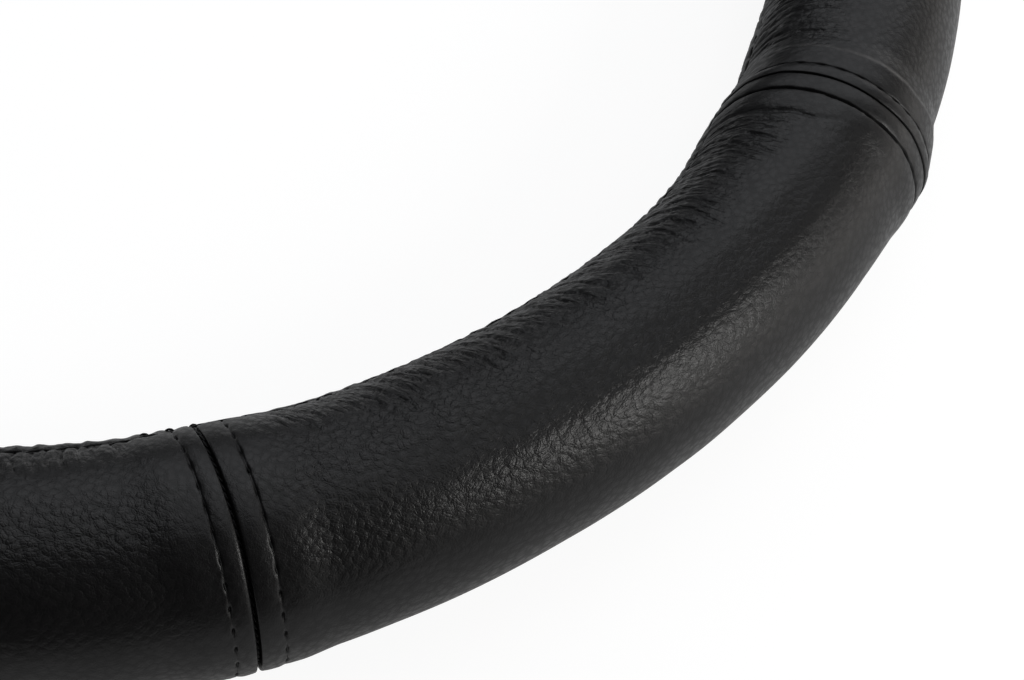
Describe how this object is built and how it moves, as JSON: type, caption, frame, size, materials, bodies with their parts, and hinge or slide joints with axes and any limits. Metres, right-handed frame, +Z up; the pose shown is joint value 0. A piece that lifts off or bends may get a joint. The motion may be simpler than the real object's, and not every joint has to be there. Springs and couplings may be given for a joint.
{
  "type": "steering wheel cover",
  "caption": "Slip-on steering wheel cover: pebble-grained leather panels sewn into a round ring over a moulded rubber core, open on the hub side for the wheel's rim.",
  "frame": {"origin": "centre of the ring, on the plane that the cover lies on", "axes": "+Z up along the ring's axis, which is the steering wheel's axis once fitted; -Y towards one of the sewn seams"},
  "size_m": [0.3812, 0.3812, 0.0374],
  "materials": {
    "cover_leather": "satin, pebble grained",
    "core_rubber": "matt moulded",
    "sewing_thread": "waxed black thread"
  },
  "bodies": {
    "root": {"rubber_core": "core_rubber", "leather_panel_1": "cover_leather", "joining_thread_1": "sewing_thread", "topstitch_1_left": "sewing_thread", "topstitch_1_right": "sewing_thread", "leather_panel_2": "cover_leather", "joining_thread_2": "sewing_thread", "topstitch_2_left": "sewing_thread", "topstitch_2_right": "sewing_thread", "leather_panel_3": "cover_leather", "joining_thread_3": "sewing_thread", "topstitch_3_left": "sewing_thread", "topstitch_3_right": "sewing_thread", "leather_panel_4": "cover_leather", "joining_thread_4": "sewing_thread", "topstitch_4_left": "sewing_thread", "topstitch_4_right": "sewing_thread", "leather_panel_5": "cover_leather", "joining_thread_5": "sewing_thread", "topstitch_5_left": "sewing_thread", "topstitch_5_right": "sewing_thread", "leather_panel_6": "cover_leather", "joining_thread_6": "sewing_thread", "topstitch_6_left": "sewing_thread", "topstitch_6_right": "sewing_thread", "leather_panel_7": "cover_leather", "joining_thread_7": "sewing_thread", "topstitch_7_left": "sewing_thread", "topstitch_7_right": "sewing_thread", "leather_panel_8": "cover_leather", "joining_thread_8": "sewing_thread", "topstitch_8_left": "sewing_thread", "topstitch_8_right": "sewing_thread", "hem_thread_upper": "sewing_thread", "hem_thread_lower": "sewing_thread"}
  },
  "joints": []
}
